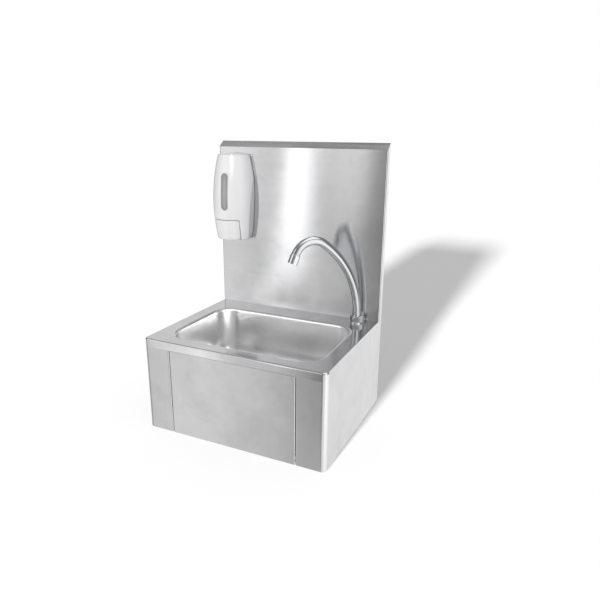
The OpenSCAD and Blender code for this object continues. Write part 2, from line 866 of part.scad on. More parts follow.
// Hexagonal nut that holds the spout's collar and lets it turn
module swivel_nut() {
    color([0.86, 0.87, 0.89]) at_spout(base_ring_t) rotate(swivel_turn) difference() {
        hex(swivel_af, swivel_top - base_ring_t);
        translate([0, 0, -cut]) cylinder(r = shank_r + run_gap, h = swivel_cavity - base_ring_t + cut);
        cylinder(r = tube_r + run_gap, h = swivel_top);
    }
}

// Places a child where the spout's centre line leads: X is the way the spout points, Z is up
module spout_frame() {
    at_spout(0) rotate(270 - spout_turn) children();
}
bend_x = long_bend_r * (1 - cos(long_bend_a));
bend_z = tube_rise + long_bend_r * sin(long_bend_a);
module tube_section(rise = 0) {
    difference() {
        circle(tube_r + rise);
        circle(tube_r - tube_wall - rise);
    }
}

// Fine bead that joins two lengths of the tube
module tube_joint() {
    translate([0, 0, -joint_l / 2]) linear_extrude(joint_l) tube_section(joint_rise);
}

// Child at the spout's open end, its Z along the flow
module spout_end() {
    a = long_bend_a + top_bend_a;
    spout_frame() translate([bend_x + top_bend_r * (cos(long_bend_a) - cos(a)), 0,
        bend_z - top_bend_r * (sin(long_bend_a) - sin(a))]) rotate([0, a, 0]) children();
}

// Spigot that turns in the shank, with a groove for each O-ring
module spout_spigot(top) {
    foot = cut - socket_low;
    lands = [[foot, top - 2 * o_ring_step - o_ring_r],
        [top - 2 * o_ring_step + o_ring_r, top - o_ring_step - o_ring_r],
        [top - o_ring_step + o_ring_r, top + cut]];
    translate([0, 0, foot]) cylinder(r = spout_spigot_r - 2 * o_ring_r, h = top - foot);
    for (land = lands) translate([0, 0, land[0]]) cylinder(r = spout_spigot_r, h = land[1] - land[0]);
}

module spout_tube() {
    low = shank_top + free_gap;
    color([0.85, 0.86, 0.88]) {
        spout_frame() {
            difference() {
                union() {
                    translate([0, 0, low]) cylinder(r = collar_r, h = swivel_cavity - low - free_gap);
                    translate([0, 0, low]) cylinder(r = tube_r, h = tube_rise - low);
                    spout_spigot(low);
                }
                translate([0, 0, -socket_low]) cylinder(r = spout_bore_r, h = socket_low + tube_rise);
                translate([0, 0, low + cut]) cylinder(r = tube_r - tube_wall, h = tube_rise);
            }
            rotate([90, 0, 0]) {
                translate([long_bend_r, tube_rise, 0]) rotate(180) mirror([0, 1, 0])
                    rotate_extrude(angle = long_bend_a) translate([long_bend_r, 0]) tube_section();
                translate([bend_x + top_bend_r * cos(long_bend_a), bend_z - top_bend_r * sin(long_bend_a), 0])
                    rotate(180 - long_bend_a) mirror([0, 1, 0])
                        rotate_extrude(angle = top_bend_a) translate([top_bend_r, 0]) tube_section();
            }
        }
        spout_frame() {
            translate([0, 0, tube_rise]) tube_joint();
            translate([bend_x, 0, bend_z]) rotate([0, long_bend_a, 0]) tube_joint();
        }
        spout_end() {
            tube_joint();
            linear_extrude(aerator_grip) tube_section();
        }
    }
}

module spout_o_rings() {
    color([0.1, 0.1, 0.1]) spout_frame() for (i = [1, 2])
        translate([0, 0, shank_top + free_gap - i * o_ring_step]) rotate_extrude()
            translate([spout_spigot_r - o_ring_r, 0]) circle(o_ring_r - sheet_gap / 2);
}

module aerator_shell() {
    color([0.87, 0.88, 0.90]) spout_end() difference() {
        cylinder(r = aerator_r, h = aerator_l);
        translate([0, 0, -cut]) cylinder(r = tube_r + run_gap, h = aerator_grip + cut);
        cylinder(r = insert_r + run_gap, h = aerator_l + cut);
    }
}

// Mesh disc of the aerator, with rings of jets
module aerator_insert() {
    color([0.80, 0.80, 0.78]) spout_end() translate([0, 0, aerator_l - insert_t - cut]) difference() {
        cylinder(r = insert_r, h = insert_t);
        translate([0, 0, -cut]) {
            cylinder(r = jet_r, h = insert_t + 2 * cut);
            for (ring = [1 : jet_rings], i = [0 : 6 * ring - 1]) rotate(60 * i / ring)
                translate([ring * jet_step, 0, 0]) cylinder(r = jet_r, h = insert_t + 2 * cut);
        }
    }
}

module at_waste(h) {
    translate([0, bowl_y, up(h)]) children();
}

// Dished strainer with rings of holes and a countersunk middle
strainer_h = step_h + upper_seal_t;
module strainer() {
    color([0.80, 0.81, 0.82]) at_waste(strainer_h) difference() {
        union() {
            translate([0, 0, strainer_t]) mirror([0, 0, 1]) cylinder(r = strainer_r, h = strainer_t);
            translate([0, 0, -strainer_dish]) cylinder(r = strainer_cup_r, h = strainer_dish + strainer_t);
        }
        cylinder(r = strainer_cup_r - strainer_t, h = strainer_t + cut);
        translate([0, 0, -strainer_dish - cut]) {
            cylinder(r = screw_r + run_gap, h = strainer_dish + strainer_t + 2 * cut);
            for (i = [0 : 5]) rotate(60 * i) translate([strainer_cup_r / 2, 0, 0])
                cylinder(r = slot_r, h = strainer_dish + 2 * cut);
            for (i = [0 : 11]) rotate(30 * i) translate([strainer_cup_r - slot_r - strainer_t - cut, 0, 0])
                cylinder(r = slot_r / 2, h = strainer_dish + 2 * cut);
        }
    }
}

module strainer_screw() {
    color([0.76, 0.77, 0.79]) at_waste(strainer_h) {
        difference() {
            cylinder(r = screw_head_r, h = strainer_t);
            block([-screw_head_r, -screw_r / 4, strainer_t / 2],
                [screw_head_r, screw_r / 4, strainer_t + cut]);
        }
        translate([0, 0, -screw_l]) cylinder(r = screw_r, h = screw_l + strainer_t / 2);
    }
}

module upper_waste_seal() {
    color([0.12, 0.12, 0.12]) at_waste(step_h)
        washer(strainer_r - waste_step_depth, waste_hole_r, upper_seal_t);
}

module lower_waste_seal() {
    color([0.12, 0.12, 0.12]) at_waste(step_h - bowl_t - waste_seal_t)
        washer(waste_seal_r, waste_hole_r, waste_seal_t);
}

// Waste body under the bowl, with the bridge that the screw pulls on and a threaded tail
module waste_body() {
    flange = step_h - bowl_t - waste_seal_t;
    color([0.80, 0.81, 0.82]) {
        difference() {
            union() {
                at_waste(flange - waste_flange_t) cylinder(r = waste_flange_r, h = waste_flange_t);
                at_waste(waste_low) cylinder(r = waste_r, h = flange - waste_low);
            }
            at_waste(waste_low - cut) cylinder(r = waste_bore_r, h = flange - waste_low + 2 * cut);
        }
        at_waste(flange - bridge_drop - bridge_t) difference() {
            intersection() {
                block([-waste_bore_r - cut, -bridge_w / 2, 0], [waste_bore_r + cut, bridge_w / 2, bridge_t]);
                cylinder(r = waste_bore_r + cut, h = bridge_t);
            }
            translate([0, 0, -cut]) cylinder(r = screw_r, h = bridge_t + 2 * cut);
        }
    }
}

// Dispenser frame: X across from its centre line, Y out from the backsplash, Z up from its bottom edge
module at_dispenser() {
    translate([-dispenser_x, -splash_d, up(disp_low)]) mirror([0, 1, 0]) children();
}

// Outline seen from the front, drawn in by a margin
module front_outline(margin) {
    half = dispenser_half_w - margin;
    bow = side_bow_r - margin;
    intersection() {
        translate([half - bow, side_rise]) circle(bow, $fn = 2 * smooth);
        translate([bow - half, side_rise]) circle(bow, $fn = 2 * smooth);
        translate([0, dispenser_h / 2])
            round_rect(2 * half, dispenser_h - 2 * margin, disp_corner_r - margin);
    }
}

// Half section of the barrel, drawn in by a margin
module barrel_section(margin) {
    bow = barrel_bow_r - margin;
    intersection() {
        translate([dispenser_d - margin - bow, barrel_rise]) circle(bow, $fn = smooth);
        polygon([[0, margin], [dispenser_d, margin], [dispenser_d, dispenser_h - roof_drop - margin],
            [0, dispenser_h - margin]]);
    }
}

// Solid form of the closed dispenser, drawn in by a margin
module dispenser_form(margin) {
    intersection() {
        rotate([90, 0, 0]) translate([0, 0, -dispenser_d - cut]) linear_extrude(dispenser_d + 2 * cut)
            front_outline(margin);
        rotate_extrude(angle = 180, $fn = smooth) barrel_section(margin);
    }
}

// Back plate with the cheeks that the cover's pins sit in
module dispenser_back() {
    half = dispenser_half_w - shell_t - back_side_gap;
    boss_top = pin_rise + pin_back - cover_back + free_gap;
    color([0.93, 0.93, 0.93]) at_dispenser() difference() {
        union() {
            intersection() {
                dispenser_form(shell_t + back_side_gap);
                block([-half, 0, boss_top], [half, back_t, dispenser_h]);
            }
            block([-pin_side_x(), 0, back_low], [pin_side_x(), back_t, boss_top + cheek_r]);
            for (s = [0, 1]) mirror([s, 0, 0]) {
                cheek_x = pin_side_x() - cheek_t;
                translate([cheek_x, pin_back, pin_rise]) bar_x(cheek_r, cheek_t);
                block([cheek_x, 0, back_low], [cheek_x + cheek_t, pin_back, pin_rise + 2 * cheek_r]);
                block([cheek_x, pin_back, pin_rise],
                    [cheek_x + cheek_t, pin_back + cheek_r, pin_rise + 2 * cheek_r]);
            }
        }
        screw_places() translate([0, -cut, 0]) bar_y(disp_screw_r, back_t + 2 * cut);
        for (s = [0, 1]) mirror([s, 0, 0]) translate([pin_side_x() - cheek_t - cut, pin_back, pin_rise])
            bar_x(pin_r, cheek_t + 2 * cut);
    }
}

// Inner half-width of the cover at its pins, less the gap to the cheeks
function bow_in(z) = side_bow_r - sqrt(pow(side_bow_r, 2) - pow(z - side_rise, 2));
function pin_side_x() = dispenser_half_w - shell_t - bow_in(0) - free_gap;

// Puts a child at each of the four screws
module screw_places() {
    for (x = [-1, 1], z = [screw_low, screw_high]) translate([x * screw_x, 0, z]) children();
}

module dispenser_screws() {
    color([0.70, 0.71, 0.73]) at_dispenser() screw_places() {
        translate([0, back_t, 0]) bar_y(disp_screw_head_r, disp_screw_head_t);
        translate([0, -disp_screw_l + back_t, 0]) bar_y(disp_screw_r - run_gap, disp_screw_l);
    }
}

module soap_bottle() {
    color([0.88, 0.90, 0.92]) at_dispenser() {
        difference() {
            translate([0, bottle_back, 0]) rotate([90, 0, 180]) linear_extrude(bottle_d)
                translate([0, (bottle_low + bottle_high) / 2])
                    round_rect(2 * bottle_half_w, bottle_high - bottle_low, bottle_corner_r);
            translate([0, bottle_back + shell_t, 0]) rotate([90, 0, 180])
                linear_extrude(bottle_d - 2 * shell_t) translate([0, (bottle_low + bottle_high) / 2])
                    round_rect(2 * (bottle_half_w - shell_t), bottle_high - bottle_low - 2 * shell_t,
                        bottle_corner_r - shell_t);
            translate([0, bottle_back + bottle_d / 2, bottle_low - cut])
                cylinder(r = neck_rr - shell_t, h = shell_t + 2 * cut);
        }
        translate([0, bottle_back + bottle_d / 2, bottle_low - cap_t]) difference() {
            cylinder(r = neck_rr, h = cap_t);
            translate([0, 0, -cut]) cylinder(r = neck_rr - shell_t, h = cap_t + 2 * cut);
        }
    }
}

module bottle_cap() {
    color([0.20, 0.21, 0.22]) at_dispenser() translate([0, bottle_back + bottle_d / 2, bottle_low - cap_t])
        washer(cap_r, neck_rr + run_gap, cap_t - free_gap);
}

// Pump block under the bottle, bored from the front for its piston
module pump_body() {
    top = bottle_low - cap_t;
    color([0.85, 0.85, 0.84]) at_dispenser() difference() {
        union() {
            translate([0, back_t, pump_rise]) bar_y(pump_r, pump_front - back_t);
            translate([0, bottle_back + bottle_d / 2, pump_rise]) cylinder(r = cap_r, h = top - pump_rise);
        }
        translate([0, piston_bore_end, pump_rise]) bar_y(pump_bore_r, pump_front);
        translate([0, bottle_back + bottle_d / 2, pump_rise]) cylinder(r = nozzle_r, h = top);
        translate([0, bottle_back + bottle_d / 2, pump_rise - pump_r - cut])
            cylinder(r = nozzle_r, h = pump_r + cut);
    }
}

module pump_piston() {
    back = piston_bore_end + piston_stop;
    color([0.30, 0.31, 0.33]) at_dispenser() translate([0, 0, pump_rise]) {
        translate([0, back, 0]) bar_y(pump_bore_r - run_gap, piston_front - back);
        translate([0, piston_front - piston_head_t, 0]) bar_y(piston_head_r, piston_head_t);
    }
}

module soap_nozzle() {
    low = nozzle_low;
    color([0.20, 0.21, 0.22]) at_dispenser() translate([0, bottle_back + bottle_d / 2, low])
        difference() {
            cylinder(r = nozzle_r - run_gap, h = pump_rise - pump_bore_r - low - free_gap);
            translate([0, 0, -cut]) cylinder(r = nozzle_r / 2, h = pump_rise);
        }
}

// Pins that the cover swings on
module cover_pins() {
    color([0.60, 0.61, 0.63]) at_dispenser() for (s = [0, 1]) mirror([s, 0, 0])
        translate([pin_side_x() - cheek_t, pin_back, pin_rise]) bar_x(pin_r, pin_l);
}

// Space of the sight slot, drawn in by a margin
module sight_slot(margin) {
    r = slot_w / 2 - margin;
    reach = slot_h / 2 - slot_w / 2;
    translate([0, 0, slot_rise]) rotate([90, 0, 180]) linear_extrude(dispenser_d + cut) {
        square([2 * r, 2 * reach], center = true);
        for (s = [-1, 1]) translate([0, s * reach]) circle(r);
    }
}

// Space of the button, drawn in by a margin, from a distance off the backsplash
module button_space(margin, back) {
    block([-button_half_w + margin, back, -cut],
        [button_half_w - margin, dispenser_d + cut, button_h - margin]);
}

module dispenser_cover() {
    hinge_r = pin_back - cover_back;
    pin_wall = shell_t + bow_in(0);
    ear_x = button_half_w + button_gap + cheek_in;
    color([0.96, 0.96, 0.97]) at_dispenser() difference() {
        union() {
            difference() {
                dispenser_form(0);
                dispenser_form(shell_t);
                block([-dispenser_d, -cut, -cut], [dispenser_d, cover_back, dispenser_h + cut]);
                block([-dispenser_d, -cut, -cut], [dispenser_d, pin_back, pin_rise - cut]);
                sight_slot(0);
                button_space(-button_gap, shell_t);
            }
            for (s = [0, 1]) mirror([s, 0, 0]) {
                translate([dispenser_half_w - pin_wall, pin_back, pin_rise]) bar_x(hinge_r, shell_t);
                intersection() {
                    block([ear_x, button_pin_back - post_r, button_pin_rise - post_r],
                        [ear_x + ear_t, dispenser_d, button_pin_rise + post_r]);
                    dispenser_form(shell_t / 2);
                }
            }
        }
        for (s = [0, 1]) mirror([s, 0, 0]) {
            translate([pin_side_x(), pin_back, pin_rise]) bar_x(pin_r + run_gap, pin_l);
            translate([button_half_w, button_pin_back, button_pin_rise])
                bar_x(button_pin_r + run_gap, cheek_in + ear_t + cut);
        }
    }
}

module dispenser_window() {
    color([0.55, 0.57, 0.60, 0.6]) at_dispenser() intersection() {
        difference() {
            dispenser_form(window_sink);
            dispenser_form(shell_t);
        }
        sight_slot(run_gap);
    }
}

// Push button: part of the barrel form with cheeks and pins at its top, and a post that meets the piston
module dispenser_button() {
    pin_x = button_half_w - button_gap - cheek_in;
    color([0.95, 0.95, 0.96]) at_dispenser() {
        intersection() {
            difference() {
                dispenser_form(0);
                dispenser_form(shell_t);
            }
            button_space(button_gap, button_back);
        }
        for (s = [0, 1]) mirror([s, 0, 0]) {
            intersection() {
                block([pin_x, button_pin_back - post_r / 2, button_pin_rise - post_r],
                    [pin_x + cheek_in, dispenser_d, button_pin_rise + post_r / 2]);
                dispenser_form(shell_t / 2);
            }
            translate([pin_x, button_pin_back, button_pin_rise]) bar_x(button_pin_r, 2 * cheek_in + ear_t);
        }
        intersection() {
            translate([0, piston_front + free_gap, pump_rise]) bar_y(post_r, dispenser_d);
            dispenser_form(shell_t / 2);
        }
    }
}

deck();
bowl();
left_casing();
right_casing();
rear_rail();
backsplash();
hook_rail();
wall_rail();
knee_panel();
striker_pad();
panel_buffers();
hinge_rod();
rod_clips();
valve_rail();
valve_body();
valve_cap();
valve_nut();
gland_bush();
valve_plunger();
disc_seal();
plunger_spring();
mixing_tee();
hot_check_valve();
cold_check_valve();
outlet_hose();
hose_nuts();
spout_shank();
shank_seal();
shank_washer();
shank_nut();
base_ring();
swivel_nut();
spout_tube();
spout_o_rings();
aerator_shell();
aerator_insert();
strainer();
strainer_screw();
upper_waste_seal();
lower_waste_seal();
waste_body();
dispenser_back();
dispenser_screws();
soap_bottle();
bottle_cap();
pump_body();
pump_piston();
soap_nozzle();
cover_pins();
dispenser_cover();
dispenser_window();
dispenser_button();
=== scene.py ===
"""Wall-hung stainless steel hand wash sink: the looks of its pieces, and the stage it stands on.

The packed model is the fixed frame. Each operator below dresses one piece or a group of like pieces.
"""

import json
import math

import bmesh
import bpy
from bpy.props import FloatProperty, FloatVectorProperty, IntProperty, PointerProperty
from mathutils import Matrix, Vector


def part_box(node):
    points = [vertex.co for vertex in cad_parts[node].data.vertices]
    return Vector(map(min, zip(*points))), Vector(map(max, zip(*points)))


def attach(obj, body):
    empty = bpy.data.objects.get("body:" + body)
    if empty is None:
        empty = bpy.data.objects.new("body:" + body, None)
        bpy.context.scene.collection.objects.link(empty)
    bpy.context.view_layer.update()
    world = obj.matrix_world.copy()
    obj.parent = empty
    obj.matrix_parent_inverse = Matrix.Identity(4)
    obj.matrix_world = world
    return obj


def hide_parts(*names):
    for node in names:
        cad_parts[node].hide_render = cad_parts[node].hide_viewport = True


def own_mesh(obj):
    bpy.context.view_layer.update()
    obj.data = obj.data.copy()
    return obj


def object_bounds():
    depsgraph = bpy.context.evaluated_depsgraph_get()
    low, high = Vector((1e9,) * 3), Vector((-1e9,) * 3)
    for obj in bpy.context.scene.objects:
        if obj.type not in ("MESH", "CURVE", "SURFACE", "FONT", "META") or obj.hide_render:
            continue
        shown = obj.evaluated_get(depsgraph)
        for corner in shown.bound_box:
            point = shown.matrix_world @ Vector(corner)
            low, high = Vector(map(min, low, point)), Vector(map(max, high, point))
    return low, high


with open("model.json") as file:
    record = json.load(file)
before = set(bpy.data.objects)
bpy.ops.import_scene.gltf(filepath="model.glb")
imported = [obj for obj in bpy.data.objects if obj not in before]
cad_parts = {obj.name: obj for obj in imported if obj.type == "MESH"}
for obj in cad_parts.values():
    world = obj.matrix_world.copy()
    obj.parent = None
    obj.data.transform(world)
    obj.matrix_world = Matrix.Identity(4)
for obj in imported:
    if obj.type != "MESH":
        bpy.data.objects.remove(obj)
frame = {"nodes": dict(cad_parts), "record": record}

bl_info = {
    "name": "Hand wash sink",
    "version": (1, 0, 0),
    "blender": (4, 5, 0),
    "location": "View3D > Sidebar > Wash sink",
    "description": "Dresses a knee-operated hand wash sink and sets its stage",
    "category": "Object",
}

NODES = frame["nodes"]
START_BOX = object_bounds()
PLASTIC = ["dispenser_cover", "dispenser_button", "dispenser_back", "dispenser_window", "soap_bottle"]


def slot_colour(name):
    """The colour that the record gives to one of its materials."""
    for material in frame["record"]["materials"]:
        if material["slot"] == name:
            return tuple(material["base_color"][:3])
    raise ValueError(f"the record has no material {name}")


def joint_range(name):
    """The least and the most that one of the record's joints moves."""
    for joint in frame["record"]["behaviour"]["joints"]:
        if joint["name"] == name:
            return joint.get("range_m") or joint["range_deg"]
    raise ValueError(f"the record has no joint {name}")


# ---------------------------------------------------------------- shader maths


class Flow:
    """A value, colour or vector that runs through a material. Python's operators add its nodes."""

    def __init__(self, paint, socket):
        self.paint = paint
        self.socket = socket

    def _maths(self, kind, a, b=0.0):
        vector = any(isinstance(x, Flow) and x.socket.type in {"VECTOR", "RGBA"} for x in (a, b))
        if vector:
            return self.paint.node("ShaderNodeVectorMath", {"operation": kind}, {0: a, 1: b})
        return self.paint.node("ShaderNodeMath", {"operation": kind}, {0: a, 1: b})

    def __add__(self, other):
        return self._maths("ADD", self, other)

    __radd__ = __add__

    def __sub__(self, other):
        return self._maths("SUBTRACT", self, other)

    def __rsub__(self, other):
        return self._maths("SUBTRACT", other, self)

    def __mul__(self, other):
        return self._maths("MULTIPLY", self, other)

    __rmul__ = __mul__

    def __truediv__(self, other):
        return self._maths("DIVIDE", self, other)

    def __rtruediv__(self, other):
        return self._maths("DIVIDE", other, self)

    def __pow__(self, other):
        return self._maths("POWER", self, other)

    def __neg__(self):
        return 0.0 - self

    def of(self, kind, other=0.0):
        """Any other operation of the Math node."""
        return self._maths(kind, self, other)

    def part(self, axis):
        """The x, y or z part of a vector."""
        return self.paint.node("ShaderNodeSeparateXYZ", {}, {"Vector": self}, out=axis.upper())

    def ramp(self, low, high):
        """0 below low, 1 above high and a smooth way between them."""
        return self.paint.node("ShaderNodeMapRange", {"interpolation_type": "SMOOTHSTEP"},
                               {"Value": self, "From Min": low, "From Max": high})


class Paint:
    """One procedural material."""

    def __init__(self, name, world=None):
        if world is None:
            self.material = bpy.data.materials.new(name)
            self.material.use_nodes = True
            self.tree = self.material.node_tree
        else:
            world.use_nodes = True
            self.tree = world.node_tree
        self.tree.nodes.clear()

    def node(self, kind, settings=None, values=None, out=0):
        """A node of one kind: its settings come first, then the values or links of its sockets."""
        n = self.tree.nodes.new(kind)
        for key, value in (settings or {}).items():
            if key == "stops":
                ends = n.color_ramp.elements
                while len(ends) < len(value):
                    ends.new(0.5)
                for end, (place, colour) in zip(ends, value):
                    end.position = place
                    end.color = colour if hasattr(colour, "__len__") else (colour,) * 3 + (1.0,)
            else:
                setattr(n, key, value)
        for key, value in (values or {}).items():
            socket = n.inputs[key]
            if isinstance(value, Flow):
                self.tree.links.new(value.socket, socket)
            elif socket.type == "RGBA" and len(value) == 3:
                socket.default_value = (*value, 1.0)
            elif socket.type == "VECTOR" and not hasattr(value, "__len__"):
                socket.default_value = (value,) * 3
            else:
                socket.default_value = value
        return Flow(self, n.outputs[out]) if n.outputs else None

    def place(self):
        """Where a point is on the object, in metres."""
        return self.node("ShaderNodeTexCoord", out="Object")

    def stretched(self, x, y, z):
        """The place, with each axis scaled on its own."""
        return self.place() * self.node("ShaderNodeCombineXYZ", {}, {"X": x, "Y": y, "Z": z})

    def noise(self, where, scale=1.0, detail=2.0, rough=0.5):
        """Soft noise from 0 to 1."""
        return self.node("ShaderNodeTexNoise", {}, {"Vector": where, "Scale": scale, "Detail": detail,
                                                    "Roughness": rough})

    def mix(self, factor, a, b):
        """Colour a where the factor is 0 and colour b where it is 1."""
        return self.node("ShaderNodeMix", {"data_type": "RGBA"}, {0: factor, 6: a, 7: b}, out=2)

    def shade(self, base, factor):
        """A colour made lighter or darker by a factor that varies."""
        return self.node("ShaderNodeVectorMath", {"operation": "SCALE"}, {0: base, 3: factor})

    def bump(self, height, distance, eased=0.0):
        """The normal of a fine relief, over edges that are eased to a radius where one is given."""
        under = {}
        if eased:
            under["Normal"] = self.node("ShaderNodeBevel", {"samples": 8}, {"Radius": eased})
        return self.node("ShaderNodeBump", {}, {"Height": height, "Distance": distance, **under})

    def finish(self, **sockets):
        """Ends the material in one Principled shader."""
        values = {key.replace("_", " "): value for key, value in sockets.items()}
        shader = self.node("ShaderNodeBsdfPrincipled", {}, values)
        self.node("ShaderNodeOutputMaterial", {}, {"Surface": shader})
        return self.material


GRAIN, DRAWN = 1500.0, 6.0              # brush marks in a metre, across the brushing and along it
SPLASHED = (0.33, 0.08)                 # heights between which splashes make the backsplash rougher
BOWL_UPRIGHT = 0.015                    # height at which the bowl's wall stands upright
COVE_TOP = 0.20                         # height from which the backsplash bends forward
TWIST_TOP, TWIST_REACH = 0.41, 0.17     # where the backsplash is true, and how far below that it goes on turning


def brushed(name, tone, rough, along, smear, cloud, turn=0.25, lines=1.0, draw=1.0, twist=0.0, foot=0.0,
            dish=0.0, cove=0.0):
    """Sheet steel with a grain along one axis, clouds from handling and a few wiped smears.

    draw: how deep the grain is. turn and smear: which way the grain draws reflections out, and how much.
    twist: how far the normal leans sideways further down, as in a large sheet that isn't quite flat.
    foot: how much rougher the sheet is near the deck, where it is splashed and wiped most.
    dish: how far a pressed wall's normal leans up near its top and down near its foot.
    cove: how far an upright sheet's normal leans up where it bends forward to the deck.
    """
    p = Paint(name)
    across = {"x": (DRAWN, GRAIN, GRAIN), "y": (GRAIN, DRAWN, GRAIN), "z": (GRAIN, GRAIN, DRAWN)}[along]
    wide = [size * (0.22 if size == GRAIN else 0.7) for size in across]
    grain = p.noise(p.stretched(*across), detail=3.0, rough=0.6)
    broad = p.noise(p.stretched(*wide))
    clouds = p.noise(p.place(), scale=13.0, detail=4.0, rough=0.6)
    wiped = p.noise(p.place(), scale=30.0, detail=5.0, rough=0.65).ramp(0.50, 0.80)
    level = 1.0 + (clouds - 0.5) * (2.0 * cloud) + (grain - 0.5) * (0.10 * lines) + (broad - 0.5) * (0.05 * lines)
    roughness = rough * (0.85 + clouds * 0.3 + (grain - 0.5) * (0.4 * lines) + wiped * 0.12)
    height = (grain * 0.7 + broad * 0.3) * (0.000006 * draw)
    if foot:
        roughness = roughness + (-p.place().part("z")).ramp(-SPLASHED[0], -SPLASHED[1]) * foot
    if dish:
        rise = p.place().part("z") - BOWL_UPRIGHT
        height = height - rise * rise * dish
    if cove:
        low = (COVE_TOP - p.place().part("z")).of("MAXIMUM", 0.0)
        height = height + low * low * cove
    if twist:
        below = (p.place().part("z") - TWIST_TOP).of("MAXIMUM", -TWIST_REACH)
        height = height + below * p.place().part("x") * twist
    return p.finish(Base_Color=p.shade(tone, level - wiped * 0.06), Metallic=1.0, Roughness=roughness,
                    Anisotropic=smear, Anisotropic_Rotation=turn, Normal=p.bump(height, 1.0))


def plated(name, tone, rough, eased=0.0):
    """Polished plating with a breath of haze, a few water marks and eased edges where asked."""
    p = Paint(name)
    haze = p.noise(p.place(), scale=45.0, detail=4.0, rough=0.6)
    marks = p.noise(p.place(), scale=260.0).ramp(0.62, 0.75)
    return p.finish(Base_Color=p.shade(tone, 0.97 + haze * 0.06 - marks * 0.05), Metallic=1.0,
                    Roughness=rough + haze * 0.05 + marks * 0.08,
                    Normal=p.bump(haze, 0.00003, eased=eased))


def cast(name, tone, rough=0.32):
    """Cast metal, tarnished darker in random patches, with a fine sand grain."""
    p = Paint(name)
    sand = p.noise(p.place(), scale=1400.0, detail=3.0, rough=0.6)
    age = p.noise(p.place(), scale=60.0, detail=4.0, rough=0.6)
    tarnish = tuple(c * 0.72 for c in tone)
    return p.finish(Base_Color=p.mix(age.ramp(0.35, 0.75), tone, tarnish), Metallic=1.0,
                    Roughness=rough + (age - 0.5) * 0.25 + (sand - 0.5) * 0.15,
                    Normal=p.bump(sand, 0.00009))


def moulded(name, tone, rough, grain=0.00002, clear=None, gloss=0.0, lens=None, eased=0.0):
    """Moulded plastic with a fine tool texture, slight flow marks and eased edges where asked.

    lens: the corners of a sight window, which bulges and has painted shade that makes it darker towards its sides
    and ends.
    """
    p = Paint(name)
    tool = p.noise(p.place(), scale=2200.0)
    flow = p.noise(p.stretched(14.0, 14.0, 5.0), detail=3.0)
    more = {} if clear is None else {"Alpha": clear}
    height = tool * grain
    level = 1.0 + (flow - 0.5) * 0.04 + (tool - 0.5) * 0.01
    if lens is not None:
        middle, half = (lens[0] + lens[1]) / 2, (lens[1] - lens[0]) / 2
        across = ((p.place().part("x") - middle.x) / half.x) ** 2.0
        upright = ((p.place().part("z") - middle.z) / half.z) ** 2.0
        height = height - across * (0.1 * half.x)
        # painted shade: the window's colour is darkened towards its sides and its ends
        level = level - across * 0.25 - upright * 0.20
    return p.finish(Base_Color=p.shade(tone, level),
                    Roughness=rough + (flow - 0.5) * 0.06 + (tool - 0.5) * 0.04, Coat_Weight=gloss,
                    Coat_Roughness=0.06, Normal=p.bump(height, 1.0, eased=eased), **more)


def rubber(name, tone):
    """Dull black rubber with a light bloom."""
    p = Paint(name)
    skin = p.noise(p.place(), scale=1800.0, detail=3.0, rough=0.6)
    bloom = p.noise(p.place(), scale=70.0, detail=4.0, rough=0.6).ramp(0.45, 0.8)
    return p.finish(Base_Color=p.mix(bloom * 0.5, tone, (0.09, 0.09, 0.095)),
                    Roughness=0.58 + bloom * 0.2 + (skin - 0.5) * 0.1, Normal=p.bump(skin, 0.00008))


def dress(nodes, material):
    """Gives CAD nodes a material."""
    for name in nodes:
        slots = NODES[name].data.materials
        slots.clear()
        slots.append(material)


# ------------------------------------------------------------------- settings


class SteelLook(bpy.types.PropertyGroup):
    """The sheet steel."""

    tone: FloatVectorProperty(name="Steel colour", description="Colour of the bare sheet steel", subtype="COLOR",
                              size=3, min=0.0, max=1.0, default=slot_colour("stainless_sheet"))
    satin: FloatProperty(name="Front satin", description="Roughness of the front's brushed finish", default=0.24,
                         min=0.05, max=0.8, subtype="FACTOR")
    mirror: FloatProperty(name="Backsplash satin", description="Roughness of the backsplash's finer finish",
                          default=0.14, min=0.02, max=0.8, subtype="FACTOR")
    bowl: FloatProperty(name="Bowl satin", description="Roughness inside the bowl", default=0.30, min=0.02,
                        max=0.8, subtype="FACTOR")
    rails: FloatVectorProperty(name="Rail colour", description="Colour of the hidden rails", subtype="COLOR",
                               size=3, min=0.0, max=1.0, default=slot_colour("plain_steel"))


class FittingLook(bpy.types.PropertyGroup):
    """The taps and fittings."""

    chrome: FloatVectorProperty(name="Chrome colour", description="Colour of the chrome plating", subtype="COLOR",
                                size=3, min=0.0, max=1.0, default=slot_colour("chrome_plate"))
    brass: FloatVectorProperty(name="Brass colour", description="Colour of the cast brass", subtype="COLOR",
                               size=3, min=0.0, max=1.0, default=slot_colour("brass_casting"))
    waste: FloatVectorProperty(name="Waste colour", description="Colour of the waste fitting", subtype="COLOR",
                               size=3, min=0.0, max=1.0, default=slot_colour("waste_steel"))
    rubber: FloatVectorProperty(name="Rubber colour", description="Colour of the seals and pads", subtype="COLOR",
                                size=3, min=0.0, max=1.0, default=slot_colour("black_rubber"))


class HoseLook(bpy.types.PropertyGroup):
    """The braided outlet hose."""

    radius: FloatProperty(name="Hose radius", description="Outer radius of the braid", default=0.0055, min=0.003,
                          max=0.0055, unit="LENGTH", precision=4)
    strands: IntProperty(name="Strands", description="Bundles of wire each way round the hose", default=8, min=4,
                         max=16)
    lay: FloatProperty(name="Lay", description="Length of hose in which a bundle goes once round", default=0.038,
                       min=0.015, max=0.1, unit="LENGTH", precision=4)
    tone: FloatVectorProperty(name="Braid colour", description="Colour of the steel braid", subtype="COLOR",
                              size=3, min=0.0, max=1.0, default=slot_colour("steel_braid"))


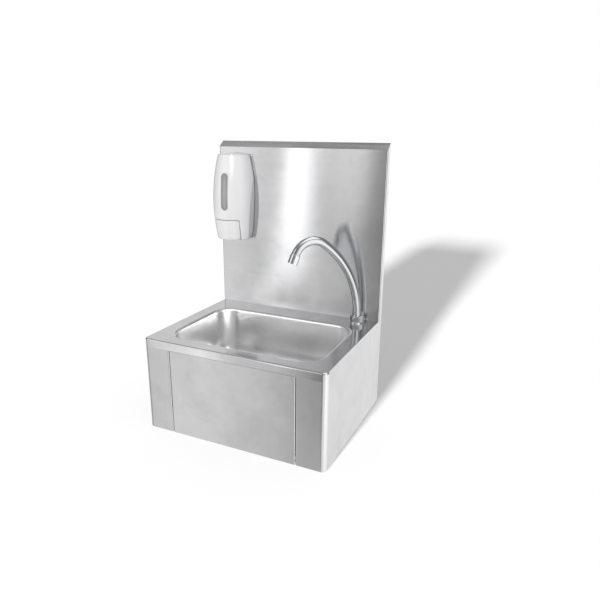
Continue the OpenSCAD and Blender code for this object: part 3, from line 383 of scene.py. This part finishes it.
class SpringLook(bpy.types.PropertyGroup):
    """The plunger's return spring."""

    wire: FloatProperty(name="Spring wire", description="Diameter of the spring's wire", default=0.0012,
                        min=0.0006, max=0.0014, unit="LENGTH", precision=4)
    curls: IntProperty(name="Curls", description="Turns of the spring", default=5, min=3, max=6)


class DispenserLook(bpy.types.PropertyGroup):
    """The soap dispenser."""

    shell: FloatVectorProperty(name="Shell colour", description="Colour of the cover and the button",
                               subtype="COLOR", size=3, min=0.0, max=1.0, default=slot_colour("white_shell"))
    plate: FloatVectorProperty(name="Plate colour", description="Colour of the back plate", subtype="COLOR",
                               size=3, min=0.0, max=1.0, default=slot_colour("white_plate"))
    window: FloatVectorProperty(name="Window colour", description="Colour of the smoke window", subtype="COLOR",
                                size=3, min=0.0, max=1.0, default=(1.85 * slot_colour("smoke_window")[0],) * 3)
    bottle: FloatVectorProperty(name="Bottle colour", description="Colour of the soap bottle", subtype="COLOR",
                                size=3, min=0.0, max=1.0, default=slot_colour("soap_bottle"))


class StageLook(bpy.types.PropertyGroup):
    """The floor and the light."""

    floor: FloatVectorProperty(name="Floor colour", description="Colour of the floor", subtype="COLOR", size=3,
                               min=0.0, max=1.0, default=(0.80, 0.80, 0.80))
    reach: FloatProperty(name="Floor reach", description="How far the floor runs behind the sink", default=6.0,
                         min=1.0, max=20.0, unit="LENGTH")
    front: FloatProperty(name="Floor front", description="How far the floor runs before the sink", default=1.0,
                         min=0.5, max=10.0, unit="LENGTH")
    fill: FloatProperty(name="Fill light", description="Strength of the even light from all round", default=0.42,
                        min=0.0, max=3.0)
    key: FloatProperty(name="Key light", description="Strength of the light on the plastics", default=1.75,
                       min=0.0, max=10.0)
    ceiling: FloatProperty(name="Ceiling", description="Brightness of what polished steel mirrors from overhead",
                           default=1.5, min=0.0, max=3.0)
    bowl_key: FloatProperty(name="Bowl light", description="Strength of the wide light that the bowl mirrors",
                            default=3.3, min=0.0, max=10.0)
    bowl_fill: FloatProperty(name="Bowl fill", description="Strength of the soft light on the bowl's back wall",
                             default=1.05, min=0.0, max=10.0)
    low: FloatProperty(name="Low light", description="Strength of the low light that draws the floor's shadow",
                       default=7.4, min=0.0, max=30.0)


# --------------------------------------------------------------------- pieces


class SINK_OT_sheets(bpy.types.Operator):
    """Dress the deck, the casings and the knee panel in brushed sheet steel"""

    bl_idname = "wash_sink.sheets"
    bl_label = "Body sheets"

    def execute(self, context):
        look = context.scene.sink_steel
        dress(["knee_panel"], brushed("steel_panel", look.tone, look.satin, "x", 0.3, cloud=0.22, lines=0.8))
        dress(["left_casing", "right_casing"],
              brushed("steel_casing", look.tone, look.satin, "z", 0.3, turn=0.0, cloud=0.15, lines=0.6))
        dress(["deck"], brushed("steel_deck", look.tone, look.satin * 0.45, "x", 0.5, cloud=0.20))
        return {"FINISHED"}


class SINK_OT_bowl(bpy.types.Operator):
    """Dress the pressed bowl in polished satin steel"""

    bl_idname = "wash_sink.bowl"
    bl_label = "Bowl"

    def execute(self, context):
        look = context.scene.sink_steel
        # painted light: the bowl's steel is a lighter copy of the sheet steel's colour, so the bowl reads
        # brighter
        tone = (1.08 * look.tone[0],) * 3
        dress(["bowl"], brushed("steel_bowl", tone, look.bowl, "z", 0.6, cloud=0.10, lines=0.4, dish=1.2))
        return {"FINISHED"}


class SINK_OT_backsplash(bpy.types.Operator):
    """Dress the tall backsplash in a fine horizontal grain that draws its reflections out upright"""

    bl_idname = "wash_sink.backsplash"
    bl_label = "Backsplash"

    def execute(self, context):
        look = context.scene.sink_steel
        dress(["backsplash"],
              brushed("steel_backsplash", look.tone, look.mirror, "x", 1.0, cloud=0.15, lines=0.9, draw=2.5,
                      twist=0.030, foot=0.05, cove=0.34))
        return {"FINISHED"}


class SINK_OT_rails(bpy.types.Operator):
    """Dress the hidden rails, the hinge rod and the small steel fixings"""

    bl_idname = "wash_sink.rails"
    bl_label = "Rails and fixings"

    def execute(self, context):
        look = context.scene.sink_steel
        dress(["rear_rail", "hook_rail", "wall_rail", "valve_rail"],
              brushed("steel_rail", look.rails, 0.36, "x", 0.0, cloud=0.06))
        dress(["hinge_rod", "shank_washer", "dispenser_screws", "cover_pins"],
              plated("steel_turned", look.rails, 0.22))
        dress(["rod_clips"], plated("steel_clip", slot_colour("spring_steel"), 0.28))
        return {"FINISHED"}


class SINK_OT_valve(bpy.types.Operator):
    """Dress the knee valve, the mixing tee and the check valves"""

    bl_idname = "wash_sink.valve"
    bl_label = "Knee valve"

    def execute(self, context):
        look = context.scene.sink_fittings
        dress(["valve_body", "mixing_tee"], cast("brass_cast", look.brass))
        dress(["valve_cap", "valve_nut", "spout_shank", "shank_nut"], cast("brass_turned", look.brass, 0.2))
        dress(["hot_check_valve", "cold_check_valve", "hose_nuts"], plated("plate_satin", look.chrome, 0.16))
        dress(["valve_plunger"], plated("plunger_steel", look.waste, 0.12))
        dress(["striker_pad", "panel_buffers", "disc_seal", "shank_seal", "spout_o_rings", "upper_waste_seal",
               "lower_waste_seal"], rubber("black_rubber", look.rubber))
        dress(["gland_bush", "aerator_insert"], moulded("pale_nylon", slot_colour("pale_nylon"), 0.42, 0.00005))
        return {"FINISHED"}


CURL_POINTS = 28        # points of the spring's line in one curl


class SINK_OT_spring(bpy.types.Operator):
    """Wind the plunger's return spring at its rest length; the real spring shortens as the knee panel is pressed
    """

    bl_idname = "wash_sink.spring"
    bl_label = "Return spring"

    def execute(self, context):
        look = context.scene.sink_spring
        low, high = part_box("plunger_spring")
        middle, half = (low + high) / 2, look.wire / 2
        reach = (high.x - low.x) / 2 - half
        first, last = low.y + half, high.y - half
        steps = CURL_POINTS * look.curls
        path = []
        for i in range(steps + 1):
            a = 2 * math.pi * i * look.curls / steps
            path.append(Vector((middle.x + reach * math.cos(a), first + (last - first) * i / steps,
                                middle.z + reach * math.sin(a))))
        coil = swept_tube("spring_coil", path, half, sides=12)
        coil.data.materials.append(plated("steel_spring", slot_colour("spring_steel"), 0.28))
        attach(coil, "sink")
        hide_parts("plunger_spring")
        stroke = max(abs(end) for end in joint_range("plunger_slide"))
        1.0 - stroke / (high.y - low.y)
        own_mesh(coil)
        return {"FINISHED"}


class SINK_OT_hose(bpy.types.Operator):
    """Weave the braided hose from the valve to the spout over the plain solid"""

    bl_idname = "wash_sink.hose"
    bl_label = "Braided hose"

    def execute(self, context):
        look = context.scene.sink_hose
        path = hose_route()
        cover = swept_tube("hose_braid", path, look.radius)
        p = Paint("steel_braid")
        around = p.node("ShaderNodeUVMap", {"uv_map": "braid"})
        u = around.part("x") / look.lay * look.strands
        v = around.part("y") * look.strands
        left = ((u + v).of("FRACT") - 0.5).of("ABSOLUTE") * 2.0
        right = ((u - v).of("FRACT") - 0.5).of("ABSOLUTE") * 2.0
        over = ((u + v).of("FLOOR") + (u - v).of("FLOOR")).of("FLOORED_MODULO", 2.0)
        bundle = left * over + right * (1.0 - over)
        wires = (bundle * 4.0).of("FRACT").ramp(0.0, 0.35)
        height = (1.0 - bundle) * 0.8 + wires * 0.2
        grime = p.noise(p.place(), scale=180.0, detail=3.0, rough=0.6)
        colour = p.mix(bundle.ramp(0.72, 0.98), look.tone, (0.05, 0.05, 0.055))
        cover.data.materials.append(p.finish(Base_Color=p.shade(colour, 0.85 + grime * 0.3), Metallic=1.0,
                                             Roughness=0.30 + grime * 0.15, Normal=p.bump(height, 0.0006)))
        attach(cover, "sink")
        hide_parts("outlet_hose")
        return {"FINISHED"}


class SINK_OT_spout(bpy.types.Operator):
    """Dress the swivel spout and its collar in chrome"""

    bl_idname = "wash_sink.spout"
    bl_label = "Spout"

    def execute(self, context):
        look = context.scene.sink_fittings
        # painted shade: the spout tube's chrome is a darker copy of the collar's chrome, so the tube reads darker
        tone = [0.80 * c for c in look.chrome]
        dress(["spout_tube"], plated("chrome_plate", tone, 0.02))
        dress(["base_ring", "swivel_nut", "aerator_shell"],
              plated("chrome_collar", look.chrome, 0.02, eased=0.0012))
        return {"FINISHED"}


class SINK_OT_waste(bpy.types.Operator):
    """Dress the strainer and the waste fitting"""

    bl_idname = "wash_sink.waste"
    bl_label = "Waste"

    def execute(self, context):
        look = context.scene.sink_fittings
        dress(["strainer", "strainer_screw", "waste_body"], plated("waste_steel", look.waste, 0.10))
        return {"FINISHED"}


class SINK_OT_dispenser(bpy.types.Operator):
    """Dress the soap dispenser, its bottle and its pump"""

    bl_idname = "wash_sink.dispenser"
    bl_label = "Soap dispenser"

    def execute(self, context):
        look = context.scene.sink_dispenser
        dress(["dispenser_cover", "dispenser_button"],
              moulded("white_shell", look.shell, 0.22, gloss=0.3, eased=0.004))
        dress(["dispenser_back", "pump_body"], moulded("white_plate", look.plate, 0.45, 0.00006))
        dress(["soap_bottle"], moulded("soap_bottle", look.bottle, 0.20, clear=0.55))
        dress(["bottle_cap", "pump_piston", "soap_nozzle"],
              moulded("dark_plastic", slot_colour("dark_plastic"), 0.42, 0.00006))
        dress(["dispenser_window"],
              moulded("smoke_window", look.window, 0.06, 0.000004, clear=0.6, gloss=0.6,
                      lens=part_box("dispenser_window")))
        return {"FINISHED"}


# ----------------------------------------------------------------- hose shape


ARC, RUN, CLIMB = 12, 8, 4      # steps of each bend, of the level run and of the climb of the hose's line


def hose_route():
    """The hose's middle line: out of the valve, round to the wall and up under the spout."""
    level, front = -0.105, -0.251
    start, turn_x, spout_x = 0.098, 0.106, 0.1545
    bend, rise, wall = 0.0485, 0.045, -0.039
    points = [Vector((start, front, level)), Vector((start + 0.004, front, level))]
    for i in range(ARC + 1):
        a = math.pi / 2 * i / ARC
        points.append(Vector((turn_x + bend * math.sin(a), front + bend * (1 - math.cos(a)), level)))
    run_from, run_to = front + bend, wall - rise
    for i in range(1, RUN):
        points.append(Vector((spout_x, run_from + (run_to - run_from) * i / RUN, level)))
    for i in range(ARC + 1):
        a = math.pi / 2 * i / ARC
        points.append(Vector((spout_x, run_to + rise * math.sin(a), level + rise * (1 - math.cos(a)))))
    foot, top = level + rise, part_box("outlet_hose")[1].z
    for i in range(1, CLIMB + 1):
        points.append(Vector((spout_x, wall, foot + (top - foot) * i / CLIMB)))
    return points


def swept_tube(name, path, radius, sides=24):
    """A tube along a path whose map runs in metres along it and from 0 to 1 round it."""
    mesh = bmesh.new()
    along = mesh.loops.layers.uv.new("braid")
    rings, run, far = [], 0.0, []
    normal = Vector((0, 0, 1))
    for i, point in enumerate(path):
        ahead = (path[min(i + 1, len(path) - 1)] - path[max(i - 1, 0)]).normalized()
        normal = (normal - ahead * normal.dot(ahead)).normalized()
        side = ahead.cross(normal)
        rings.append([mesh.verts.new(point + (normal * math.cos(2 * math.pi * k / sides)
                                              + side * math.sin(2 * math.pi * k / sides)) * radius)
                      for k in range(sides)])
        run += (point - path[i - 1]).length if i else 0.0
        far.append(run)
    for i in range(len(rings) - 1):
        for k in range(sides):
            face = mesh.faces.new((rings[i][k], rings[i][(k + 1) % sides], rings[i + 1][(k + 1) % sides],
                                   rings[i + 1][k]))
            face.smooth = True
            corners = ((far[i], k), (far[i], k + 1), (far[i + 1], k + 1), (far[i + 1], k))
            for loop, (u, v) in zip(face.loops, corners):
                loop[along].uv = (u, v / sides)
    for ring, turn in ((rings[0], 1), (rings[-1], -1)):
        mesh.faces.new(ring[::turn])
    bmesh.ops.recalc_face_normals(mesh, faces=mesh.faces)
    data = bpy.data.meshes.new(name)
    mesh.to_mesh(data)
    mesh.free()
    piece = bpy.data.objects.new(name, data)
    bpy.context.scene.collection.objects.link(piece)
    return piece


# ---------------------------------------------------------------------- stage


# The directions in which the lamps shine.
LOW_WAY = (0.035, 0.962, -0.271)
KEY_WAY = (-0.12, 0.86, -0.40)
BOWL_KEY_WAY = (-0.72, 0.66, -0.19)
BOWL_FILL_WAY = (0.10, 0.86, -0.50)


class SINK_OT_stage(bpy.types.Operator):
    """Lay the pale floor, hang the soft lights and place the camera"""

    bl_idname = "wash_sink.stage"
    bl_label = "Stage"

    def execute(self, context):
        look = context.scene.sink_stage
        floor = lay_floor(look)
        studio(look)
        plastics = [NODES[name] for name in PLASTIC]
        sun("low_light", LOW_WAY, look.low, 5.0, "floor_only", [floor]).visible_glossy = False
        sun("key_light", KEY_WAY, look.key, 9.0, "plastic_only", plastics)
        sun("bowl_light", BOWL_KEY_WAY, look.bowl_key, 30.0, "bowl_only", [NODES["bowl"]])
        sun("bowl_fill", BOWL_FILL_WAY, look.bowl_fill, 70.0, "bowl_fill_only", [NODES["bowl"]])
        place_camera()
        context.scene.view_settings.view_transform = "Standard"
        return {"FINISHED"}


FLOOR_GAP, FLOOR_GRID, FLOOR_GLOW = 0.0004, 12, 0.17    # below the sink, squares each way, and its lift to white


def lay_floor(look):
    """A flat pale floor that shows the sink's shadow."""
    level = START_BOX[0].z - FLOOR_GAP
    mesh = bmesh.new()
    rows = []
    for j in range(FLOOR_GRID + 1):
        y = -look.front + (look.reach + look.front) * j / FLOOR_GRID
        rows.append([mesh.verts.new((look.reach * (2 * i / FLOOR_GRID - 1), y, level))
                     for i in range(FLOOR_GRID + 1)])
    for j in range(FLOOR_GRID):
        for i in range(FLOOR_GRID):
            mesh.faces.new((rows[j][i], rows[j][i + 1], rows[j + 1][i + 1], rows[j + 1][i]))
    data = bpy.data.meshes.new("floor")
    mesh.to_mesh(data)
    mesh.free()
    floor = bpy.data.objects.new("floor", data)
    bpy.context.scene.collection.objects.link(floor)
    p = Paint("floor")
    path = p.node("ShaderNodeLightPath", out="Is Camera Ray")
    shine = p.node("ShaderNodeLightPath", out="Is Glossy Ray")
    clear = p.node("ShaderNodeLightPath", out="Is Transmission Ray")
    matt = p.node("ShaderNodeBsdfDiffuse", {}, {"Color": look.floor})
    lift = p.node("ShaderNodeEmission", {}, {"Color": (1.0, 1.0, 1.0), "Strength": FLOOR_GLOW})
    seen = p.node("ShaderNodeAddShader", {}, {0: matt, 1: lift})
    past = p.node("ShaderNodeBsdfTransparent")
    direct = p.node("ShaderNodeMixShader", {}, {0: path, 1: matt, 2: seen})
    shown = p.node("ShaderNodeMixShader", {}, {0: shine.of("MAXIMUM", clear), 1: direct, 2: past})
    p.node("ShaderNodeOutputMaterial", {}, {"Surface": shown})
    data.materials.append(p.material)
    return floor


ROOM = 2.0      # what the brightest stretch of the room measures

# What metal mirrors, by height: the turn round the sink in degrees, where 0 is straight in front of it and 90 is
# to its left, with how bright the room is there.
BANDS = {
    "up": [(-180, 0.9), (-150, 0.8), (-125, 0.15), (-100, 0.15), (-80, 1.2), (-55, 1.3), (-36, 0.5),
           (-12, 0.35), (0, 0.1), (14, 0.12), (17, 0.24), (18.5, 0.5), (22, 0.66), (28, 0.9), (40, 1.15),
           (56, 0.9), (72, 0.15), (122, 0.12), (136, 0.74), (150, 0.74), (180, 0.9)],
    "level": [(-180, 1.05), (-150, 1.05), (-130, 0.15), (-95, 0.12), (-82, 0.6), (-72, 1.4), (-52, 1.4),
              (-38, 0.45), (-14, 0.35), (-4, 0.25), (3, 0.15), (12, 0.2), (15.8, 0.36), (17.4, 0.42),
              (18.3, 1), (20.3, 0.95), (22, 0.74), (23.6, 0.7), (24.15, 2), (25.8, 2), (26.25, 0.8),
              (28, 0.8), (30, 0.98), (32, 1.12), (45, 0.9), (60, 0.6), (75, 0.12), (125, 0.12), (150, 0.6),
              (180, 1)],
    "low": [(-180, 1.05), (-150, 1.05), (-120, 0.5), (-85, 0.6), (-72, 1.3), (-52, 1.3), (-38, 0.4),
            (-14, 0.3), (-4, 0.2), (3, 0.14), (12, 0.18), (16.5, 0.3), (18, 0.36), (21, 0.42), (23, 0.6),
            (24.1, 2), (26, 2), (27, 0.6), (29, 0.55), (33, 0.56), (45, 0.9), (70, 0.5), (180, 1)],
    "foot": [(-180, 0.88), (-150, 0.98), (-120, 1.3), (-58, 1.55), (-48, 1.4), (-40, 0.9), (-24, 0.9),
             (-14, 1.3), (-8, 1.2), (2, 0.3), (9, 0.08), (20, 0.12), (22.5, 0.28), (24.5, 0.48), (26, 0.6),
             (28, 0.68), (32, 0.68), (34, 1.02), (37, 1.12), (40, 1), (42, 0.62), (60, 0.4), (180, 0.88)],
}

# Where one band gives way to the next, as the z of the direction that is mirrored.
FOOT_END, LOW_END, LEVEL_END = (-0.37, -0.30), (-0.25, -0.11), (0.17, 0.29)
UP_END, DIM_END, CORNER_END = (0.54, 0.66), (0.72, 0.86), (0.84, 0.97)
EVENED, UNDERSIDE = (0.46, 0.58), (0.74, 0.92)      # the same below the horizon
CEILING_EDGE = (0.12, 0.25)                         # how far left the ceiling's edge is


def grey(bright):
    """One brightness of the room as a colour."""
    return (bright / ROOM,) * 3


def studio(look):
    """The photographer's room: each band of it, by height, has lighter and darker stretches round the sink."""
    world = bpy.data.worlds.new("studio")
    bpy.context.scene.world = world
    p = Paint("studio", world)
    ray = p.node("ShaderNodeTexCoord", out="Generated")
    x, y, z = ray.part("x"), ray.part("y"), ray.part("z")
    turn = (-x).of("ARCTAN2", -y) * (0.5 / math.pi) + 0.5
    band = {}
    for name, stops in BANDS.items():
        ramp = [((angle + 180.0) / 360.0, bright / ROOM) for angle, bright in stops]
        band[name] = p.node("ShaderNodeValToRGB", {"stops": ramp}, {"Fac": turn})
    around = p.mix(z.ramp(*FOOT_END), band["foot"], p.mix(z.ramp(*LOW_END), band["low"], band["level"]))
    around = p.mix((-z).ramp(*EVENED) * 0.45, around, grey(0.86))
    around = p.mix(z.ramp(*LEVEL_END), around, band["up"])
    corner = p.mix(z.ramp(*CORNER_END), grey(0.46), grey(0.16))
    above = p.mix((-x).ramp(*CEILING_EDGE), grey(look.ceiling), corner)
    mirrored = p.mix(z.ramp(*UP_END), around, p.mix(z.ramp(*DIM_END), grey(0.35), above))
    mirrored = p.mix((-z).ramp(*UNDERSIDE), mirrored, grey(0.30))
    path = p.node("ShaderNodeLightPath", out="Is Camera Ray")
    shine = p.node("ShaderNodeLightPath", out="Is Glossy Ray")
    clear = p.node("ShaderNodeLightPath", out="Is Transmission Ray")
    fill = p.node("ShaderNodeBackground", {}, {"Color": (1.0, 1.0, 1.0), "Strength": look.fill})
    room = p.node("ShaderNodeBackground", {}, {"Color": mirrored, "Strength": ROOM})
    white = p.node("ShaderNodeBackground", {}, {"Color": (1.0, 1.0, 1.0), "Strength": 1.0})
    metal = p.node("ShaderNodeMixShader", {}, {0: shine, 1: fill, 2: room})
    shown = p.node("ShaderNodeMixShader", {}, {0: path.of("MAXIMUM", clear), 1: metal, 2: white})
    p.node("ShaderNodeOutputWorld", {}, {"Surface": shown})


def sun(name, way, strength, width, group, lit):
    """A soft even light that shines along a direction, on some objects only."""
    data = bpy.data.lights.new(name, "SUN")
    data.energy = strength
    data.angle = math.radians(width)
    lamp = bpy.data.objects.new(name, data)
    lamp.rotation_euler = Vector(way).to_track_quat("-Z", "Y").to_euler()
    bpy.context.scene.collection.objects.link(lamp)
    only = bpy.data.collections.new(group)
    for piece in lit:
        only.objects.link(piece)
    lamp.light_linking.receiver_collection = only
    return lamp


CAMERA_PLACE = (0.51291, -1.12008, 0.45863)
CAMERA_TURN = (-24.603, -16.989, 0.522)         # yaw, pitch and roll, in degrees
FOCAL, FRAME, SENSOR = 542.92, 600.0, 36.0      # focal length and frame in pixels, and the sensor in millimetres


def place_camera():
    """The camera of the photograph: where it stood, how it was turned, and its lens."""
    yaw, pitch, roll = (math.radians(angle) for angle in CAMERA_TURN)
    forward = Vector((math.sin(yaw) * math.cos(pitch), math.cos(yaw) * math.cos(pitch), math.sin(pitch)))
    right = Vector((math.cos(yaw), -math.sin(yaw), 0.0))
    up = right.cross(forward)
    side = right * math.cos(roll) + up * math.sin(roll)
    top = up * math.cos(roll) - right * math.sin(roll)
    data = bpy.data.cameras.new("camera")
    data.sensor_width = SENSOR
    data.lens = FOCAL / FRAME * SENSOR
    data.clip_start, data.clip_end = 0.01, 100.0
    camera = bpy.data.objects.new("camera", data)
    turned = Matrix((side, top, -forward)).transposed().to_4x4()
    camera.matrix_world = Matrix.Translation(CAMERA_PLACE) @ turned
    bpy.context.scene.collection.objects.link(camera)
    bpy.context.scene.camera = camera


# ---------------------------------------------------------------------- panel

OPERATORS = [SINK_OT_sheets, SINK_OT_bowl, SINK_OT_backsplash, SINK_OT_rails, SINK_OT_valve, SINK_OT_spring,
             SINK_OT_hose, SINK_OT_spout, SINK_OT_waste, SINK_OT_dispenser, SINK_OT_stage]
LOOKS = {"sink_steel": SteelLook, "sink_fittings": FittingLook, "sink_spring": SpringLook, "sink_hose": HoseLook,
         "sink_dispenser": DispenserLook, "sink_stage": StageLook}


class SINK_PT_panel(bpy.types.Panel):
    """Lists the settings and the steps of the sink"""

    bl_label = "Hand wash sink"
    bl_idname = "SINK_PT_panel"
    bl_space_type = "VIEW_3D"
    bl_region_type = "UI"
    bl_category = "Wash sink"

    def draw(self, context):
        for name, look in LOOKS.items():
            box = self.layout.box()
            box.label(text=look.__doc__)
            for key in look.__annotations__:
                box.prop(getattr(context.scene, name), key)
        for step in OPERATORS:
            self.layout.operator(step.bl_idname)


def register():
    for part in [*LOOKS.values(), *OPERATORS, SINK_PT_panel]:
        bpy.utils.register_class(part)
    for name, look in LOOKS.items():
        setattr(bpy.types.Scene, name, PointerProperty(type=look))


def unregister():
    for name in LOOKS:
        delattr(bpy.types.Scene, name)
    for part in reversed([*LOOKS.values(), *OPERATORS, SINK_PT_panel]):
        bpy.utils.unregister_class(part)


def main():
    register()
    for step in OPERATORS:
        group, name = step.bl_idname.split(".")
        getattr(getattr(bpy.ops, group), name)()


if __name__ == "__main__":
    main()
